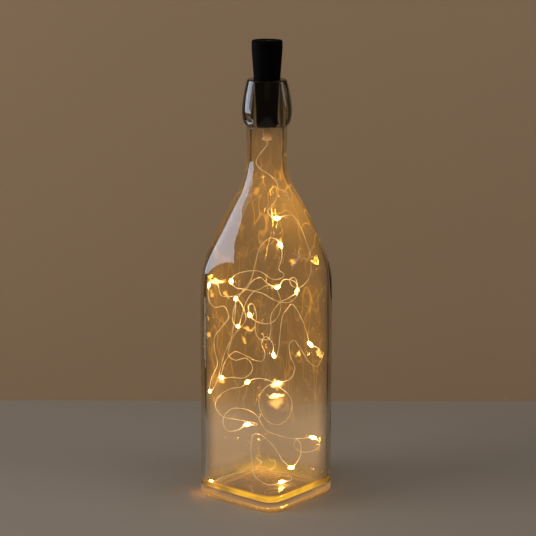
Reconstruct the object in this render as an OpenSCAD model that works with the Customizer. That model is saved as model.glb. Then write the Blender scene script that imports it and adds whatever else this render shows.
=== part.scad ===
// Cork bottle light: a square glass bottle, a cork-shaped battery stopper
// in its neck, and a string of small lights tangled inside the glass.
// Millimetres, +Z up. The origin is the centre of the bottle's foot.
// The bottle's sides face +X, -X, +Y and -Y.

/* [Bottle body] */
// Height of the glass, from the foot to the rim
bottle_h = 301; // [290:1:315]
// Width across two flat sides
body_w = 74.5; // [72:0.5:80]
// Radius of the upright corners
corner_r = 13; // [11:0.5:16]
// Thickness of the glass in the sides and the shoulder
wall = 3; // [2.5:0.1:3.5]
// Thickness of the glass in the base
base_t = 5.5; // [4:0.5:6]
// Radius round the foot's outer edge
heel_r = 3.5; // [2:0.5:4.5]
// Radius inside, between the floor and the sides
floor_fillet = 7; // [5:0.5:8]
// Width of the standing ring
foot_w = 6; // [4:0.5:8]
// Depth of the hollow under the base
push_up = 2; // [1:0.5:2.5]

/* [Shoulder and neck] */
// Radius of the shoulder's long arc, seen from the side
shoulder_r = 250; // [240:5:260]
// How far that arc stands from the axis at its widest
shoulder_reach = 58.2; // [56:0.1:60]
// Height of that widest place
shoulder_z = 90; // [85:1:95]
// Radius of the sweep from the shoulder into the neck
neck_fillet = 40; // [34:1:44]
// Diameter of the neck
neck_d = 28.6; // [27.6:0.2:30]
// Thickness of the glass in the neck
neck_wall = 3.5; // [3:0.1:4]

/* [Mouth] */
// Inside diameter of the mouth
bore_d = 18.6; // [18.2:0.1:19.2]
// Depth of the mouth's straight bore
bore_depth = 25; // [20:1:27]
// Diameter of the rim's rounded top
rim_d = 28.2; // [27:0.2:30]
// Largest diameter of the collar
collar_d = 35.1; // [33:0.1:36]
// Depth of the collar's widest place below the rim
collar_drop = 21.5; // [18:0.5:23]
// Height of the whole collar
collar_h = 32; // [28:0.5:34]
// Width of each of the two dimples for a wire bail
dimple_w = 7; // [5:0.5:8]
// Height of a dimple
dimple_h = 3.4; // [2.6:0.2:4]
// Depth of a dimple
dimple_depth = 1.6; // [1:0.2:2.4]

/* [Stopper] */
// Diameter of the stopper's head
head_d = 21.5; // [20.8:0.1:22.5]
// Height of the head, which is the cap
head_h = 6; // [5.6:0.1:7]
// How far the stopper stands out of the mouth
stand_out = 27; // [26:0.5:30]
// How far the stopper reaches into the mouth
insert = 32.5; // [31:0.5:36]
// Diameter of the stopper's lower end
tip_d = 14; // [13.6:0.1:14.8]
// Gap all round between the stopper and the mouth's bore
seat_gap = 0.08; // [0.05:0.01:0.2]
// Radius on the stopper's upper edge
head_edge = 1.2; // [0.8:0.1:1.6]
// Diameter of the well that takes the cell cage
well_d = 15.6; // [15.4:0.1:15.8]
// Gap all round between the cage and the well
cage_gap = 0.2; // [0.1:0.05:0.3]

/* [Wire outlet] */
// Diameter of the outlet's tube
outlet_d = 5.5; // [5:0.1:6]
// Length of the outlet below the stopper
outlet_len = 10; // [8:0.5:11]
// Diameter of the rim at the outlet's lower end
outlet_rim_d = 6.9; // [6.2:0.1:7.4]
// Height of that rim
outlet_rim_h = 2.8; // [2:0.2:4]

/* [Cells] */
// Diameter of a button cell
cell_d = 11.6; // [11.2:0.1:11.8]
// Height of a button cell
cell_h = 5.4; // [5.2:0.1:5.5]
// Gap all round a cell in its cage
cell_gap = 0.1; // [0.05:0.05:0.2]
// Thickness of the cage's floor
cage_floor = 1.8; // [1.4:0.1:2]
// Diameter of the contact stud in the cage's floor
stud_d = 5; // [4:0.2:5.4]
// Diameter of the wire of both contact springs
spring_wire = 0.4; // [0.3:0.05:0.5]

/* [Switch] */
// Length of the switch's housing
switch_l = 8.6; // [8:0.1:9]
// Width of the switch's housing
switch_w = 3.7; // [3.3:0.1:4]
// Height of the switch's housing
switch_h = 3.2; // [2.8:0.1:3.4]
// Travel of the slider, from on to off
switch_travel = 2; // [1.6:0.1:2.2]
// Thickness of the two round circuit boards
board_t = 1; // [0.8:0.1:1.2]

/* [Light string] */
// Width of the twin wire
wire_d = 0.8; // [0.6:0.05:0.9]
// Diameter of the clear bead round each light
bead_d = 2.4; // [2:0.1:2.8]
// Length of a bead
bead_len = 4.4; // [3.6:0.2:5]
// Length of the light chip in a bead
chip_l = 1.2; // [0.8:0.1:1.4]
// Width of the light chip
chip_w = 0.8; // [0.6:0.1:1]
// Thickness of the light chip
chip_t = 0.4; // [0.3:0.05:0.5]

/* [Hidden] */

$fn = 64;
tiny = 0.01;
glass = [0.86, 0.9, 0.88, 0.35];
resin = [1, 0.93, 0.7, 0.8];
black_plastic = [0.09, 0.09, 0.1];

// Radii of the bottle
body_half = body_w / 2;
neck_r = neck_d / 2;
neck_bore_r = neck_r - neck_wall;
bore_r = bore_d / 2;
inner_corner_r = corner_r - wall;

// The shoulder's outline is an arc that meets the neck's fillet in a tangent
arc_x = shoulder_reach - shoulder_r;
fillet_x = neck_r + neck_fillet;
fillet_z = shoulder_z + sqrt(pow(shoulder_r + neck_fillet, 2) - pow(fillet_x - arc_x, 2));
meet_z = shoulder_z + shoulder_r * (fillet_z - shoulder_z) / (shoulder_r + neck_fillet);
// Below this height the shoulder's arc lies outside the square body
shoulder_start = 130;
shoulder_steps = 14;
fillet_steps = 8;

function arc_at(z) = arc_x + sqrt(pow(shoulder_r, 2) - pow(z - shoulder_z, 2));
function fillet_at(z) = fillet_x - sqrt(pow(neck_fillet, 2) - pow(z - fillet_z, 2));
function between(a, b, steps) = [for (i = [0:steps]) a + (b - a) * i / steps];
// Quarter circle from angle a to b about a centre
function arc(cx, cz, r, a, b, steps) =
    [for (t = between(a, b, steps)) [cx + r * cos(t), cz + r * sin(t)]];

// Outline of the shoulder and neck: radius and height, from the body upwards
shoulder_outline = concat(
    [for (z = between(shoulder_start, meet_z, shoulder_steps)) [arc_at(z), z]],
    [for (i = [1:fillet_steps])
        let (z = meet_z + (fillet_z - meet_z) * i / fillet_steps) [fillet_at(z), z]]);
// The glass thickens evenly from the shoulder to the neck
function glass_at(z) =
    wall + (neck_wall - wall) * max(0, min(1, (z - meet_z) / (fillet_z - meet_z)));
inner_outline = [for (p = shoulder_outline) [p[0] - glass_at(p[1]), p[1]]];

// Heights of the mouth
rim_z = bottle_h;
collar_z = rim_z - collar_drop;
collar_base = rim_z - collar_h;
bore_end = rim_z - bore_depth;
bore_flare = 10;
rim_edge = 1.5;
bore_edge = 0.8;
dimple_z = collar_z - 6.9;
// The dimples face each other across the neck, ten degrees off the sides' middles
dimple_turn = 80;

// Heights and radii of the stopper
stopper_top = rim_z + stand_out;
cap_z = stopper_top - head_h;
tip_z = rim_z - insert;
head_r = head_d / 2;
mouth_r = bore_r - seat_gap;
tip_r = tip_d / 2;
well_r = well_d / 2;

// The stack in the well, from the cap downwards
cells = 3;
spigot_h = 1.3;
spigot_wall = 1.3;
board_z = cap_z - spigot_h - board_t;
cell_spring_h = 6.2;
// Radius of the cell spring's last turn, which clears the switch's pins
cell_spring_r = 3.5;
stack_top = board_z - cell_spring_h;
stack_z = stack_top - cells * cell_h;
cage_z = stack_z - cage_floor;
stud_drop = 0.6;
stud_z = cage_z - stud_drop;
cage_r = well_r - cage_gap;
bay_r = cell_d / 2 + cell_gap;
window_w = 2 * bay_r;
strip_w = 2.4;
strip_t = 0.3;
strip_gap = 0.1;
spring_gap = 0.02;

// The lower part of the stopper
well_floor = cage_z - 1;
board_spring_h = 3.9;
driver_z = stud_z - board_spring_h - board_t;
driver_r = 6.7;
driver_gap = 0.15;
cavity_r = 4.9;
tip_floor = 2.5;
spigot_r = 2.1;
spigot_gap = 0.05;
outlet_bore_r = 1.1;
outlet_end = tip_z - outlet_len;
chip_h = 1.2;
lead_d = 0.8;
lead_pitch = 0.9;

// The switch
housing_z = board_z + board_t;
housing_top = housing_z + switch_h;
pocket_gap = 0.1;
recess_l = 9;
recess_w = 5.4;
recess_depth = 1.7;
recess_z = stopper_top - recess_depth;
stem_l = 2;
stem_w = 1.5;
slot_gap = 0.1;
slot_l = stem_l + switch_travel + 2 * slot_gap;
knob_l = 3.4;
knob_w = 3.2;
knob_h = 1.3;
knob_ribs = 3;
housing_wall = 0.6;
rest_x = switch_travel / 2;

// The string's route, across the view, away from the viewer and up, in a frame
// turned by view_turn about the bottle's axis. A fourth number, 1, marks a light.
view_turn = 40;
lead_route = [
    [0, 0, outlet_end], [0, 0, 255], [-3, -1, 251], [-6, -2, 247], [-7, -5, 243],
    [-4, -7, 239], [0, -5, 236], [4, -1, 232], [7, 2, 228], [8, 4, 222], [7, 4, 216],
    [4, 2, 211], [1, -3, 208], [3, -7, 205], [7, -8, 204, 1]];
run_1 = [
    [12, -5, 205], [18, 2, 204], [24, 9, 196], [28, 11, 184], [30, 8, 171], [29, 3, 160],
    [24, 3, 152], [18, 1, 153], [16, -3, 159], [20, -8, 161], [21, -10, 152, 1],
    [15, -17, 149], [8, -24, 146], [3, -27, 139], [3, -26, 129], [1, -24, 121], [-5, -21, 121],
    [-7, -21, 129], [-6, -21, 137], [-8, -17, 144], [-11, -10, 142], [-10, -3, 133, 1],
    [-4, 5, 125], [4, 12, 124], [11, 17, 130], [11, 21, 140], [4, 23, 147], [-5, 22, 146],
    [-12, 17, 139], [-16, 7, 130], [-19, -5, 125, 1],
    [-23, -13, 131], [-22, -18, 142], [-17, -19, 153], [-10, -18, 162], [-8, -18, 173],
    [-5, -16, 184], [1, -13, 190], [6, -11, 190], [10, -10, 185, 1],
    [11, -7, 175], [9, -4, 166], [14, 2, 161], [13, 10, 156], [4, 15, 154], [-4, 15, 158],
    [-13, 17, 160], [-21, 15, 159], [-24, 8, 155, 1]];
run_2 = [
    [-21, -2, 153], [-14, -12, 154], [-4, -19, 153], [6, -25, 149], [15, -26, 148],
    [21, -21, 153], [20, -13, 159], [14, -9, 160], [8, -12, 155, 1],
    [1, -12, 157], [-5, -6, 160], [-9, 3, 156], [-14, 11, 148], [-23, 14, 143], [-31, 9, 144],
    [-33, 3, 150], [-34, -3, 155], [-38, -4, 157], [-41, 0, 154, 1],
    [-41, -4, 146], [-36, -8, 140], [-29, -10, 141], [-26, -12, 134], [-31, -10, 126],
    [-36, -7, 118], [-36, -6, 108], [-34, -8, 98], [-38, -7, 88], [-40, -1, 76, 1],
    [-37, 5, 77], [-33, 10, 88], [-29, 14, 101], [-22, 17, 113], [-14, 14, 122], [-13, 6, 131],
    [-17, 0, 141], [-21, -6, 146, 1],
    [-21, -13, 141], [-22, -18, 131], [-24, -19, 119], [-26, -18, 108], [-21, -15, 103],
    [-13, -14, 104], [-9, -15, 97], [-14, -17, 91], [-23, -17, 91], [-31, -11, 89, 1]];
run_3 = [
    [-31, -2, 91], [-28, 7, 97], [-21, 13, 101], [-13, 16, 97], [-5, 15, 94], [-2, 10, 101],
    [-4, 6, 110], [-1, 2, 116], [4, -1, 112], [5, -4, 104, 1],
    [7, -10, 104], [9, -15, 113], [10, -17, 124], [12, -15, 136], [17, -8, 142], [22, -1, 135],
    [26, 5, 124], [29, 8, 115], [31, 6, 109, 1],
    [36, 2, 107], [38, -2, 100], [34, -6, 96], [28, -8, 102], [22, -11, 112], [18, -16, 118],
    [15, -20, 116], [16, -23, 108], [19, -22, 99], [16, -23, 92], [8, -22, 88, 1],
    [1, -24, 87], [-4, -26, 81], [-4, -27, 71], [1, -27, 62], [9, -27, 59], [15, -25, 65],
    [17, -22, 74], [12, -18, 82], [3, -13, 87], [-6, -9, 88], [-13, -4, 84, 1],
    [-17, 4, 78], [-25, 9, 75], [-33, 7, 71], [-36, 0, 65], [-31, -6, 59], [-22, -7, 57],
    [-13, -6, 55], [-6, -8, 54], [-7, -15, 55], [-13, -17, 56, 1]];
run_4 = [
    [-20, -18, 52], [-27, -15, 51], [-30, -10, 58], [-24, -9, 65], [-15, -11, 66],
    [-7, -11, 62], [-3, -8, 54], [1, -3, 47], [8, 3, 42], [17, 7, 38], [26, 4, 39],
    [33, 0, 41, 1],
    [38, 3, 35], [35, 10, 28], [26, 14, 25], [19, 10, 31], [21, 1, 39], [24, -8, 38],
    [23, -14, 30], [17, -17, 24, 1],
    [12, -19, 29], [8, -22, 37], [3, -24, 45], [-4, -21, 50], [-9, -14, 47], [-10, -9, 37],
    [-9, -7, 25], [-7, -6, 14], [-2, -6, 8], [5, -5, 7], [11, -2, 8, 1],
    [17, 4, 7], [18, 12, 7], [11, 19, 7], [0, 22, 8], [-12, 22, 8], [-23, 16, 8], [-32, 7, 8],
    [-39, -4, 9, 1]];
route = concat(lead_route, run_1, run_2, run_3, run_4);
// Where each stretch of the string ends in the route
ends = [for (n = [0:4])
    let (runs = [lead_route, run_1, run_2, run_3, run_4])
    sum([for (i = [0:n]) len(runs[i])]) - 1];
wire_sides = 8;
spring_sides = 6;
spring_rings = 8;

function sum(v, i = 0) = i == len(v) ? 0 : v[i] + sum(v, i + 1);
function unit(v) = v / norm(v);
function place(p) = [p[0], p[1], p[2]];
// Direction of a route at each of its points
function headings(p) =
    [for (i = [0:len(p) - 1]) unit(place(p[min(i + 1, len(p) - 1)]) - place(p[max(i - 1, 0)]))];
// A direction square to each heading, carried along the route without twist
function carried(t, last, i = 0) = i == len(t) ? [] :
    let (n = unit(last - (last * t[i]) * t[i])) concat([n], carried(t, n, i + 1));
function rings(p, r, sides) =
    let (t = headings(p), n = carried(t, cross(t[0], [0.3, 1, 0.1])))
    [for (i = [0:len(p) - 1]) [for (k = [0:sides - 1])
        let (a = 360 * k / sides)
        place(p[i]) + r * (cos(a) * n[i] + sin(a) * cross(t[i], n[i]))]];
// A helix of given turns, which may narrow as it climbs
function helix(turns, r1, r2, z1, z2) =
    let (steps = turns * spring_rings)
    [for (i = [0:steps]) let (f = i / steps, r = r1 + (r2 - r1) * f, a = 360 * turns * f)
        [r * cos(a), r * sin(a), z1 + (z2 - z1) * f]];

wire_rings = rings(route, wire_d / 2, wire_sides);
wire_headings = headings(route);

// Closed tube through a list of rings
module tube(ring_list) {
    n = len(ring_list);
    m = len(ring_list[0]);
    points = [for (ring = ring_list) each ring];
    sides = [for (i = [0:n - 2]) for (k = [0:m - 1]) let (j = (k + 1) % m)
        each [[i * m + k, (i + 1) * m + k, i * m + j], [i * m + j, (i + 1) * m + k, (i + 1) * m + j]]];
    start = [[for (k = [0:m - 1]) k]];
    end = [[for (k = [m - 1:-1:0]) (n - 1) * m + k]];
    polyhedron(points, concat(start, sides, end));
}

// Stretch of the string between two points of the route
module stretch(first, last) {
    rotate([0, 0, view_turn])
        tube([for (i = [first:last]) wire_rings[i]]);
}

// Places its children at point i of the route, their Z along the wire
module on_wire(i) {
    t = wire_headings[i];
    rotate([0, 0, view_turn])
        translate(place(route[i]))
            rotate([0, acos(t[2]), atan2(t[1], t[0])])
                children();
}

// Numbers of the route's points that carry the lights of stretch n
function lights_of(n) =
    [for (i = [ends[n - 1]:ends[n] - (n == 4 ? 0 : 1)]) if (len(route[i]) == 4) i];

// Square column with round corners and a rounded lower edge, standing on z
module rounded_column(half, corner, edge, z, top) {
    flat = half - corner;
    steps = 5;
    round_edge = [for (p = arc(0, edge, edge, -90, 0, steps)) p];
    for (x = [-flat, flat]) for (y = [-flat, flat])
        translate([x, y, z])
            rotate_extrude()
                polygon(concat([[0, 0]], [for (p = round_edge) [corner - edge + p[0], p[1]]],
                    [[corner, top - z], [0, top - z]]));
    side = [for (p = round_edge) [half - edge + p[0], p[1]]];
    mirrored = [for (i = [len(side) - 1:-1:0]) [-side[i][0], side[i][1]]];
    profile = concat(side, [[half, top - z], [-half, top - z]], mirrored);
    for (turn = [0, 90])
        rotate([0, 0, turn])
            translate([0, flat, z])
                rotate([90, 0, 0])
                    linear_extrude(2 * flat)
                        polygon(profile);
}

// Body of revolution that bounds the shoulder, from the start height up to top
module shoulder_dome(outline, top) {
    rotate_extrude()
        polygon(concat([[0, 0], [outline[0][0] + 12, 0], [outline[0][0] + 12, shoulder_start]],
            outline, [[outline[len(outline) - 1][0], top], [0, top]]));
}

// Solid outline of the collar and rim
module collar() {
    base_r = neck_r + 0.2;
    rise = collar_z - collar_base;
    rotate_extrude()
        polygon(concat(
            [[0, collar_base - 3], [neck_r, collar_base - 3], [neck_r, collar_base]],
            [for (t = between(0, 1, 6))
                [base_r + (collar_d / 2 - base_r) * sin(90 * t), collar_z - rise * cos(90 * t)]],
            [for (t = between(0.15, 1, 6))
                [rim_d / 2 + (collar_d / 2 - rim_d / 2) * (1 - pow(t, 1.5)),
                    collar_z + (rim_z - rim_edge - collar_z) * t]],
            [for (p = arc(rim_d / 2 - rim_edge, rim_z - rim_edge, rim_edge, 15, 90, 5)) p],
            [[0, rim_z]]));
}

// Shallow pocket in the collar that takes one end of a wire bail
module dimple() {
    reach = collar_d / 2;
    run = dimple_w - dimple_h;
    translate([reach - dimple_depth, 0, dimple_z])
        rotate([0, 90, 0]) {
            for (y = [-run / 2, run / 2])
                translate([0, y, 0])
                    cylinder(d = dimple_h, h = 2 * dimple_depth);
            translate([-dimple_h / 2, -run / 2, 0])
                cube([dimple_h, run, 2 * dimple_depth]);
        }
}

// Clear bottle: thick base, square body, shoulder, neck and collar
module glass_bottle() {
    color(glass)
        difference() {
            union() {
                intersection() {
                    rounded_column(body_half, corner_r, heel_r, 0, fillet_z);
                    shoulder_dome(shoulder_outline, fillet_z);
                }
                translate([0, 0, fillet_z - tiny])
                    cylinder(r = neck_r, h = collar_base - fillet_z + 2 * tiny);
                collar();
            }
            intersection() {
                rounded_column(body_half - wall, inner_corner_r, floor_fillet, base_t, fillet_z);
                shoulder_dome(inner_outline, fillet_z);
            }
            rotate_extrude()
                polygon([[0, fillet_z - tiny], [neck_bore_r, fillet_z - tiny],
                    [neck_bore_r, bore_end - bore_flare], [bore_r, bore_end],
                    [bore_r, rim_z - bore_edge], [bore_r + bore_edge / 3, rim_z - bore_edge / 3],
                    [bore_r + bore_edge, rim_z + tiny], [0, rim_z + tiny]]);
            for (turn = [0, 180])
                rotate([0, 0, dimple_turn + turn])
                    dimple();
            foot_hollow();
        }
}

// Hollow under the base, inside the standing ring
module foot_hollow() {
    half = body_half - heel_r - foot_w;
    flat = half - (corner_r - heel_r);
    for (x = [-flat, flat]) for (y = [-flat, flat])
        translate([x, y, -tiny])
            cylinder(r = half - flat, h = push_up + tiny);
    for (turn = [0, 90])
        rotate([0, 0, turn])
            translate([-half, -flat, -tiny])
                cube([2 * half, 2 * flat, push_up + tiny]);
}

// Thin wire between the stopper and the first light
module lead_wire() {
    color("silver")
        stretch(0, ends[0]);
}

module light_wire(n) {
    color("silver")
        stretch(ends[n - 1], ends[n]);
}

// Clear resin beads of one stretch
module led_beads(n) {
    half = bead_len / 2 - bead_d / 2;
    color(resin)
        for (i = lights_of(n))
            on_wire(i)
                rotate_extrude($fn = 24)
                    polygon(concat([[0, -half - bead_d / 2]],
                        arc(0, -half, bead_d / 2, -75, 0, 4),
                        arc(0, half, bead_d / 2, 0, 75, 4),
                        [[0, half + bead_d / 2]]));
}

// Light chips of one stretch, each beside the wire in its bead
module led_chips(n) {
    color("gold")
        for (i = lights_of(n))
            on_wire(i)
                translate([wire_d / 2, -chip_w / 2, -chip_l / 2])
                    cube([chip_t, chip_w, chip_l]);
}

// Cork-shaped holder that plugs the mouth, with its well and lower cavity
module stopper_shell() {
    color(black_plastic)
        difference() {
            rotate_extrude()
                polygon([[0, tip_z], [tip_r - 0.6, tip_z], [tip_r, tip_z + 0.8],
                    [mouth_r, rim_z], [head_r, cap_z], [0, cap_z]]);
            translate([0, 0, well_floor])
                cylinder(r = well_r, h = cap_z - well_floor + tiny);
            translate([0, 0, driver_z])
                cylinder(r = driver_r + driver_gap, h = well_floor - driver_z + tiny);
            translate([0, 0, tip_z + tip_floor])
                cylinder(r = cavity_r, h = driver_z - tip_z - tip_floor + tiny);
            translate([0, 0, tip_z - tiny])
                cylinder(r = spigot_r + spigot_gap, h = tip_floor + 2 * tiny);
        }
}

// Milky tube that the wire leaves the stopper by
module wire_outlet() {
    color([0.95, 0.85, 0.7])
        difference() {
            rotate_extrude()
                polygon([[0, outlet_end], [outlet_rim_d / 2 - 0.5, outlet_end],
                    [outlet_rim_d / 2, outlet_end + 0.6],
                    [outlet_rim_d / 2, outlet_end + outlet_rim_h - 0.4],
                    [outlet_d / 2, outlet_end + outlet_rim_h], [outlet_d / 2, tip_z],
                    [spigot_r, tip_z], [spigot_r, tip_z + tip_floor], [0, tip_z + tip_floor]]);
            translate([0, 0, outlet_end - tiny])
                cylinder(r = outlet_bore_r, h = outlet_len + tip_floor + 2 * tiny);
        }
}

module driver_board() {
    color("darkgreen")
        translate([0, 0, driver_z])
            difference() {
                cylinder(r = driver_r, h = board_t);
                for (x = [-lead_pitch, lead_pitch])
                    translate([x, 0, -tiny])
                        cylinder(d = lead_d / 2, h = board_t + 2 * tiny, $fn = 24);
            }
}

// Timer and driver chip under the board
module driver_chip() {
    color("dimgray")
        translate([1.6, -1.5, driver_z - chip_h])
            cube([2.4, 3, chip_h]);
}

module limit_resistor() {
    color("black")
        translate([-3.6, -0.6, driver_z - chip_h / 2])
            cube([2, 1.2, chip_h / 2]);
}

// Coil that touches the stud from the driver board
module board_spring() {
    low = driver_z + board_t + spring_wire / 2 + spring_gap;
    color("gold")
        tube(rings(helix(3, 2.4, 1.6, low, stud_z - spring_wire / 2 - spring_gap),
            spring_wire / 2, spring_sides));
}

// Bent strip on the board that meets the foot of the return strip
module leaf_contact() {
    foot = driver_z + board_t;
    color("gold") {
        translate([-driver_r + 0.6, -strip_w / 2, foot])
            cube([2.2, strip_w, strip_t]);
        translate([-driver_r + 0.6, -strip_w / 2, foot])
            cube([strip_t, strip_w, cage_z - strip_t - spring_gap - foot]);
    }
}

// The string's two insulated leads, from the board down through the outlet
module inner_leads() {
    color("firebrick")
        for (side = [-1, 1])
            tube(rings([[side * lead_pitch, 0, driver_z], [side * lead_pitch, 0, driver_z - 3],
                [side * lead_pitch, 1, driver_z - 8], [side * lead_pitch * 0.8, 1, driver_z - 13],
                [side * (lead_d / 2 + 0.05), 0, tip_z + tip_floor],
                [side * (lead_d / 2 + 0.05), 0, outlet_end]], lead_d / 2, wire_sides));
}

// Head of the stopper, which lifts off with the cage; the switch sits in it
module cap_head() {
    color(black_plastic)
        difference() {
            rotate_extrude()
                polygon(concat([[0, cap_z - spigot_h], [cage_r, cap_z - spigot_h], [cage_r, cap_z],
                    [head_r, cap_z]],
                    arc(head_r - head_edge, stopper_top - head_edge, head_edge, 0, 90, 5),
                    [[0, stopper_top]]));
            translate([0, 0, cap_z - spigot_h - tiny])
                cylinder(r = cage_r - spigot_wall, h = spigot_h - 0.2);
            translate([-switch_l / 2 - pocket_gap, -switch_w / 2 - pocket_gap, housing_z - tiny])
                cube([switch_l + 2 * pocket_gap, switch_w + 2 * pocket_gap, switch_h + pocket_gap]);
            translate([-slot_l / 2, -stem_w / 2 - slot_gap, housing_top - tiny])
                cube([slot_l, stem_w + 2 * slot_gap, recess_z - housing_top + 2 * tiny]);
            translate([0, 0, recess_z])
                finger_recess();
        }
}

// Long recess with round ends over the slider
module finger_recess() {
    run = recess_l - recess_w;
    for (x = [-run / 2, run / 2])
        translate([x, 0, 0])
            cylinder(d = recess_w, h = recess_depth + tiny);
    translate([-run / 2, -recess_w / 2, 0])
        cube([run, recess_w, recess_depth + tiny]);
}

// Basket that holds the cells, open on one side for loading them
module cell_cage() {
    bay_h = stack_top - stack_z;
    color("dimgray")
        difference() {
            translate([0, 0, cage_z])
                cylinder(r = cage_r, h = board_z - cage_z);
            translate([0, 0, stack_z])
                cylinder(r = bay_r, h = board_z - stack_z + tiny);
            translate([0, -window_w / 2, stack_z])
                cube([cage_r + 1, window_w, bay_h + 0.4]);
            translate([0, 0, cage_z - tiny])
                cylinder(d = stud_d + 2 * spigot_gap, h = cage_floor + 2 * tiny);
            translate([-cage_r - tiny, -strip_w / 2 - strip_gap, cage_z - tiny])
                cube([strip_t + strip_gap + 0.5, strip_w + 2 * strip_gap,
                    board_z - cage_z + 2 * tiny]);
        }
}

// Button cell number n, counted from below, with its rim and gasket step
module cell(n) {
    z = stack_z + (n - 1) * cell_h;
    step = 0.5;
    color("lightgray")
        rotate_extrude()
            polygon([[0, z], [cell_d / 2 - 0.9, z], [cell_d / 2 - 0.9, z + step],
                [cell_d / 2 - 0.3, z + step], [cell_d / 2, z + step + 0.4],
                [cell_d / 2, z + cell_h - 0.3], [cell_d / 2 - 0.3, z + cell_h], [0, z + cell_h]]);
}

module contact_stud() {
    color("gold")
        rotate_extrude()
            polygon([[0, stud_z], [stud_d / 2 - 0.4, stud_z], [stud_d / 2, stud_z + 0.4],
                [stud_d / 2, stack_z], [0, stack_z]]);
}

// Narrowing coil that presses the stack down from the switch board
module cell_spring() {
    color("gold")
        tube(rings(helix(4, 4.2, cell_spring_r, stack_top + spring_wire / 2 + spring_gap,
            board_z - spring_wire / 2 - spring_gap), spring_wire / 2, spring_sides));
}

// Strip that carries the return current down the cage, with a foot below it
module return_strip() {
    back = -cage_r + 0.5 + strip_gap / 2;
    color("gold") {
        translate([back, -strip_w / 2, cage_z])
            cube([strip_t, strip_w, board_z - cage_z]);
        translate([back, -strip_w / 2, cage_z - strip_t])
            cube([3, strip_w, strip_t]);
    }
}

module switch_board() {
    color("darkgreen")
        translate([0, 0, board_z])
            difference() {
                cylinder(r = cage_r, h = board_t);
                for (x = [-2.5, 0, 2.5])
                    translate([x, 0, -tiny])
                        cylinder(d = 0.9, h = board_t + 2 * tiny, $fn = 24);
            }
}

// Three solder pins of the switch, through the board
module switch_pins() {
    color("silver")
        for (x = [-2.5, 0, 2.5])
            translate([x, 0, board_z - 0.6])
                cylinder(d = 0.8, h = board_t + 0.6, $fn = 24);
}

// Metal-topped housing of the slide switch
module switch_housing() {
    color("gray")
        translate([0, 0, housing_z])
            difference() {
                translate([-switch_l / 2, -switch_w / 2, 0])
                    cube([switch_l, switch_w, switch_h]);
                translate([-switch_l / 2 + housing_wall, -switch_w / 2 + housing_wall, housing_wall])
                    cube([switch_l - 2 * housing_wall, switch_w - 2 * housing_wall,
                        switch_h - 2 * housing_wall]);
                translate([-slot_l / 2, -stem_w / 2 - slot_gap, switch_h - housing_wall - tiny])
                    cube([slot_l, stem_w + 2 * slot_gap, housing_wall + 2 * tiny]);
            }
}

// Slider with its ribbed knob, at rest in the on position
module switch_slider() {
    foot = housing_z + 2 * housing_wall + 0.2;
    knob_z = recess_z + 0.1;
    color("dimgray")
        translate([rest_x, 0, 0]) {
            translate([-stem_l / 2, -stem_w / 2, foot])
                cube([stem_l, stem_w, knob_z - foot + tiny]);
            translate([-knob_l / 2, -knob_w / 2, knob_z])
                cube([knob_l, knob_w, knob_h - 0.4]);
            for (i = [0:knob_ribs - 1])
                translate([-knob_l / 2 + i * (knob_l - 0.6) / (knob_ribs - 1), -knob_w / 2,
                    knob_z + knob_h - 0.4])
                    cube([0.6, knob_w, 0.4]);
        }
}

// Contact bridge under the slider
module switch_wiper() {
    foot = housing_z + housing_wall + 0.05;
    color("gold")
        translate([rest_x - stem_l / 2, -stem_w / 2, foot])
            cube([stem_l, stem_w, housing_wall + 0.15]);
}

glass_bottle();
lead_wire();
light_wire(1);  // light_wire_1
light_wire(2);  // light_wire_2
light_wire(3);  // light_wire_3
light_wire(4);  // light_wire_4
led_beads(1);  // led_beads_1
led_beads(2);  // led_beads_2
led_beads(3);  // led_beads_3
led_beads(4);  // led_beads_4
led_chips(1);  // led_chips_1
led_chips(2);  // led_chips_2
led_chips(3);  // led_chips_3
led_chips(4);  // led_chips_4
stopper_shell();
wire_outlet();
driver_board();
driver_chip();
limit_resistor();
board_spring();
leaf_contact();
inner_leads();
cap_head();
cell_cage();
cell(1);  // cell_1
cell(2);  // cell_2
cell(3);  // cell_3
contact_stud();
cell_spring();
return_strip();
switch_board();
switch_housing();
switch_pins();
switch_slider();
switch_wiper();
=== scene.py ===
"""Looks of a cork bottle light: a square glass bottle, a battery stopper and a string of lights."""
import math

import bmesh
import bpy
from mathutils import Matrix, Vector, noise


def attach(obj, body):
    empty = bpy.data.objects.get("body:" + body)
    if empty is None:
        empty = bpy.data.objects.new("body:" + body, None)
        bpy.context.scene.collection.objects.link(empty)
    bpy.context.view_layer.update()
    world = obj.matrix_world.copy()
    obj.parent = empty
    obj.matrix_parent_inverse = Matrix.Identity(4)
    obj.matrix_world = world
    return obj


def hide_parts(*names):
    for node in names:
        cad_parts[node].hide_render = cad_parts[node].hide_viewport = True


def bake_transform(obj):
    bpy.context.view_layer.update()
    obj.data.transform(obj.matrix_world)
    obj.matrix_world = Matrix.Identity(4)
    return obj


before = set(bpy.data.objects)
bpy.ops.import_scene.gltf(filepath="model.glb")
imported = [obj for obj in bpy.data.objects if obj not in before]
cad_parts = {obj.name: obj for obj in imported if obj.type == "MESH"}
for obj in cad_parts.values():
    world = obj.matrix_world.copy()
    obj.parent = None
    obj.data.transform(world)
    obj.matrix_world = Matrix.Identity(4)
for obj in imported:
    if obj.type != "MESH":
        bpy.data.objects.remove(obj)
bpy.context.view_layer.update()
MM = 0.001
SCENE = bpy.context.scene


def linear(colour):
    """A written sRGB colour, such as "C8B49A", as the linear numbers that a shader takes."""
    parts = [int(colour[i : i + 2], 16) / 255 for i in (0, 2, 4)]
    return (*[p / 12.92 if p <= 0.04045 else ((p + 0.055) / 1.055) ** 2.4 for p in parts], 1.0)


# Camera: the photograph's view, 1.3 m away and looking 12.8 degrees down
VIEW_TURN = math.radians(40)
CAMERA_AWAY, CAMERA_UP = 1.314, 0.465
FOCAL_PX, FRAME_PX = 1899, 536

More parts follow.
